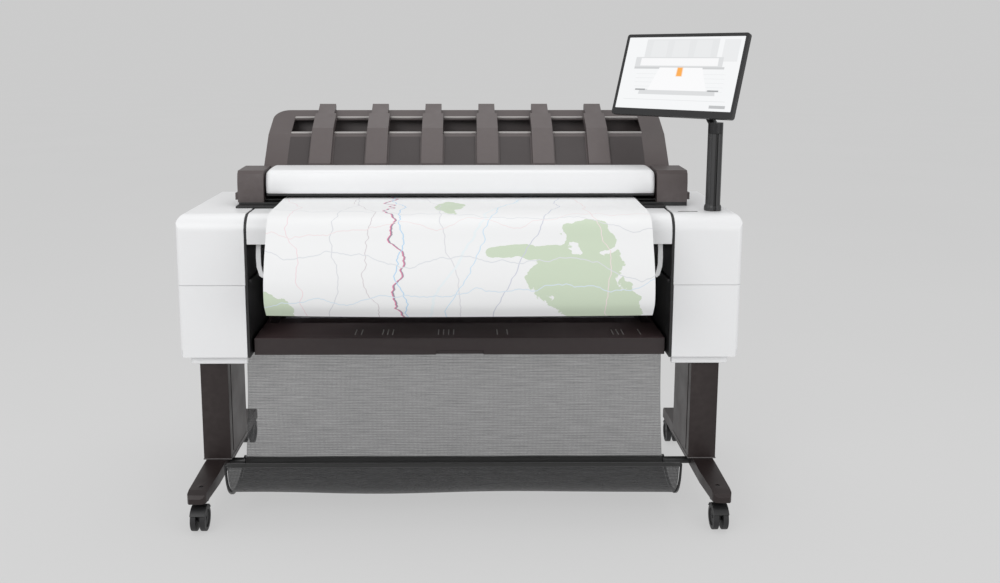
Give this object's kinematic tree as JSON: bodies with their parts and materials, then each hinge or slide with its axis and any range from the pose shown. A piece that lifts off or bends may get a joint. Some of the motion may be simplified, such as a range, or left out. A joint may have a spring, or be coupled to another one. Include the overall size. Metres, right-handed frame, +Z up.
{
  "type": "large format plotter",
  "caption": "Wide format printer with a top scanner and stacker, roll drawer, paper basket, wheeled stand and a swivelling screen on a post",
  "frame": {"origin": "on the floor, midway between the two legs, 150 mm behind the front face of the housings", "axes": "+X to the operator's right along the length, +Y to the back, +Z up"},
  "size_m": [1.421, 0.645, 1.1937],
  "materials": {
    "white_shell": "satin moulded white",
    "brown_shell": "satin dark brown moulding",
    "rib_shell": "satin brown moulding",
    "drawer_brown": "fine textured dark brown moulding",
    "black_plastic": "textured black moulding",
    "leg_paint": "satin dark brown powder coat",
    "black_paint": "satin black coat",
    "steel": "bright zinc plate",
    "aluminium": "machined",
    "rubber": "matte rubber",
    "wheel_tread": "hard black tread",
    "mesh_cloth": "open black mesh",
    "paper": "matte coated paper",
    "printed_paper": "matte coated paper with a printed map",
    "screen_glass": "lit glossy panel"
  },
  "bodies": {
    "root": {"left_leg": "leg_paint", "right_leg": "leg_paint", "left_foot": "leg_paint", "right_foot": "leg_paint", "cross_brace": "black_paint", "display_post": "black_paint", "stand_screws": "steel", "basket_hanger_rod": "steel", "chassis": "steel", "carriage_rail": "steel", "left_bay_wall": "black_plastic", "right_bay_wall": "black_plastic", "ink_cartridges": "black_plastic", "print_platen": "black_plastic", "service_station": "black_plastic", "connector_panel": "black_plastic", "rear_sockets": "black_plastic", "scanner_base": "black_plastic", "basket_back_sheet": "mesh_cloth", "base_skirts": "white_shell", "left_housing": "white_shell", "right_housing": "white_shell", "front_fascia": "white_shell", "rear_panel": "brown_shell", "scanner_left_cap": "brown_shell", "scanner_right_cap": "brown_shell", "stacker_ramp": "brown_shell", "stacker_ribs": "rib_shell", "print_sheet": "printed_paper", "carriage_belt": "rubber"},
    "basket": {"basket_frame": "black_paint", "basket_trough": "mesh_cloth"},
    "left_ink_door": {"left_ink_door": "white_shell"},
    "right_ink_door": {"right_ink_door": "white_shell"},
    "left_guide_arm": {"left_guide_arm": "white_shell"},
    "right_guide_arm": {"right_guide_arm": "white_shell"},
    "roll_drawer": {"roll_drawer": "drawer_brown"},
    "spindle": {"roll_spindle": "black_plastic", "paper_roll": "paper"},
    "feed_roller": {"feed_roller": "rubber"},
    "pinch_rollers": {"pinch_rollers": "steel"},
    "carriage": {"carriage": "black_plastic"},
    "left_pulley": {"left_pulley": "aluminium"},
    "right_pulley": {"right_pulley": "aluminium"},
    "power_switch": {"power_switch": "black_plastic"},
    "scanner_lid": {"scanner_lid": "white_shell", "scan_head": "black_plastic"},
    "front_scan_roller": {"front_scan_roller": "rubber"},
    "rear_scan_roller": {"rear_scan_roller": "rubber"},
    "screen_arm": {"display_arm": "black_paint"},
    "screen": {"display_housing": "black_plastic", "display_screen": "screen_glass"},
    "front_left_yoke": {"front_left_caster_yoke": "black_plastic"},
    "front_left_wheels": {"front_left_caster_wheels": "wheel_tread"},
    "front_right_yoke": {"front_right_caster_yoke": "black_plastic"},
    "front_right_wheels": {"front_right_caster_wheels": "wheel_tread"},
    "rear_left_yoke": {"rear_left_caster_yoke": "black_plastic"},
    "rear_left_wheels": {"rear_left_caster_wheels": "wheel_tread"},
    "rear_right_yoke": {"rear_right_caster_yoke": "black_plastic"},
    "rear_right_wheels": {"rear_right_caster_wheels": "wheel_tread"}
  },
  "joints": [
    {"name": "front_left_swivel", "type": "hinge", "parent": "root", "child": "front_left_yoke", "pos_m": [-0.629, -0.272, 0.08], "axis": [0, 0, 1], "continuous": true},
    {"name": "front_left_roll", "type": "hinge", "parent": "front_left_yoke", "child": "front_left_wheels", "pos_m": [-0.629, -0.292, 0.03], "axis": [1, 0, 0], "continuous": true},
    {"name": "front_right_swivel", "type": "hinge", "parent": "root", "child": "front_right_yoke", "pos_m": [0.629, -0.272, 0.08], "axis": [0, 0, 1], "continuous": true},
    {"name": "front_right_roll", "type": "hinge", "parent": "front_right_yoke", "child": "front_right_wheels", "pos_m": [0.629, -0.292, 0.03], "axis": [1, 0, 0], "continuous": true},
    {"name": "rear_left_swivel", "type": "hinge", "parent": "root", "child": "rear_left_yoke", "pos_m": [-0.629, 0.24, 0.08], "axis": [0, 0, 1], "continuous": true},
    {"name": "rear_left_roll", "type": "hinge", "parent": "rear_left_yoke", "child": "rear_left_wheels", "pos_m": [-0.629, 0.26, 0.03], "axis": [1, 0, 0], "continuous": true},
    {"name": "rear_right_swivel", "type": "hinge", "parent": "root", "child": "rear_right_yoke", "pos_m": [0.629, 0.24, 0.08], "axis": [0, 0, 1], "continuous": true},
    {"name": "rear_right_roll", "type": "hinge", "parent": "rear_right_yoke", "child": "rear_right_wheels", "pos_m": [0.629, 0.26, 0.03], "axis": [1, 0, 0], "continuous": true},
    {"name": "basket_fold", "type": "hinge", "parent": "root", "child": "basket", "pos_m": [-0.015, -0.082, 0.086], "axis": [-1, 0, 0], "range_deg": [0, 50]},
    {"name": "left_ink_door_hinge", "type": "hinge", "parent": "root", "child": "left_ink_door", "pos_m": [-0.617, -0.141, 0.394], "axis": [1, 0, 0], "range_deg": [0, 80]},
    {"name": "right_ink_door_hinge", "type": "hinge", "parent": "root", "child": "right_ink_door", "pos_m": [0.617, -0.141, 0.394], "axis": [1, 0, 0], "range_deg": [0, 80]},
    {"name": "left_guide_swing", "type": "hinge", "parent": "root", "child": "left_guide_arm", "pos_m": [-0.5, -0.125, 0.684], "axis": [-1, 0, 0], "range_deg": [0, 25]},
    {"name": "right_guide_swing", "type": "hinge", "parent": "root", "child": "right_guide_arm", "pos_m": [0.5, -0.125, 0.684], "axis": [-1, 0, 0], "range_deg": [0, 25]},
    {"name": "drawer_slide", "type": "slide", "parent": "root", "child": "roll_drawer", "axis": [0, -1, 0], "range_m": [0, 0.25]},
    {"name": "roll_spin", "type": "hinge", "parent": "roll_drawer", "child": "spindle", "pos_m": [0, 0.13, 0.5], "axis": [1, 0, 0], "continuous": true},
    {"name": "feed_spin", "type": "hinge", "parent": "root", "child": "feed_roller", "pos_m": [0, 0.12, 0.64], "axis": [1, 0, 0], "continuous": true},
    {"name": "pinch_spin", "type": "hinge", "parent": "root", "child": "pinch_rollers", "pos_m": [0, 0.12, 0.66435], "axis": [1, 0, 0], "continuous": true},
    {"name": "carriage_slide", "type": "slide", "parent": "root", "child": "carriage", "axis": [1, 0, 0], "range_m": [-0.42, 0.42]},
    {"name": "left_pulley_spin", "type": "hinge", "parent": "root", "child": "left_pulley", "pos_m": [-0.498, 0.107, 0.722], "axis": [0, 1, 0], "range_deg": [-2600, 2600]},
    {"name": "right_pulley_spin", "type": "hinge", "parent": "root", "child": "right_pulley", "pos_m": [0.498, 0.107, 0.722], "axis": [0, 1, 0], "range_deg": [-2600, 2600]},
    {"name": "power_switch_rock", "type": "hinge", "parent": "root", "child": "power_switch", "pos_m": [0.651, 0.293, 0.507], "axis": [1, 0, 0], "range_deg": [0, 12]},
    {"name": "scanner_lid_hinge", "type": "hinge", "parent": "root", "child": "scanner_lid", "pos_m": [0.002, 0.1, 0.831], "axis": [-1, 0, 0], "range_deg": [0, 55]},
    {"name": "front_scan_spin", "type": "hinge", "parent": "root", "child": "front_scan_roller", "pos_m": [0.002, 0.022, 0.764], "axis": [1, 0, 0], "continuous": true},
    {"name": "rear_scan_spin", "type": "hinge", "parent": "root", "child": "rear_scan_roller", "pos_m": [0.002, 0.092, 0.764], "axis": [1, 0, 0], "continuous": true},
    {"name": "screen_swivel", "type": "hinge", "parent": "root", "child": "screen_arm", "pos_m": [0.641, -0.075, 0.95], "axis": [0, 0, 1], "range_deg": [-45, 35]},
    {"name": "screen_tilt", "type": "hinge", "parent": "screen_arm", "child": "screen", "pos_m": [0.59, 0.04, 1.0789], "axis": [-0.7071, 0.7071, 0], "range_deg": [-4, 25]}
  ],
  "couplings": [
    {"joint": "pinch_spin", "follows": "feed_spin", "ratio": -1.6667},
    {"joint": "rear_scan_spin", "follows": "front_scan_spin", "ratio": 1},
    {"joint": "left_pulley_spin", "follows": "carriage_slide", "rad_per_m": -100},
    {"joint": "right_pulley_spin", "follows": "carriage_slide", "rad_per_m": -100}
  ]
}
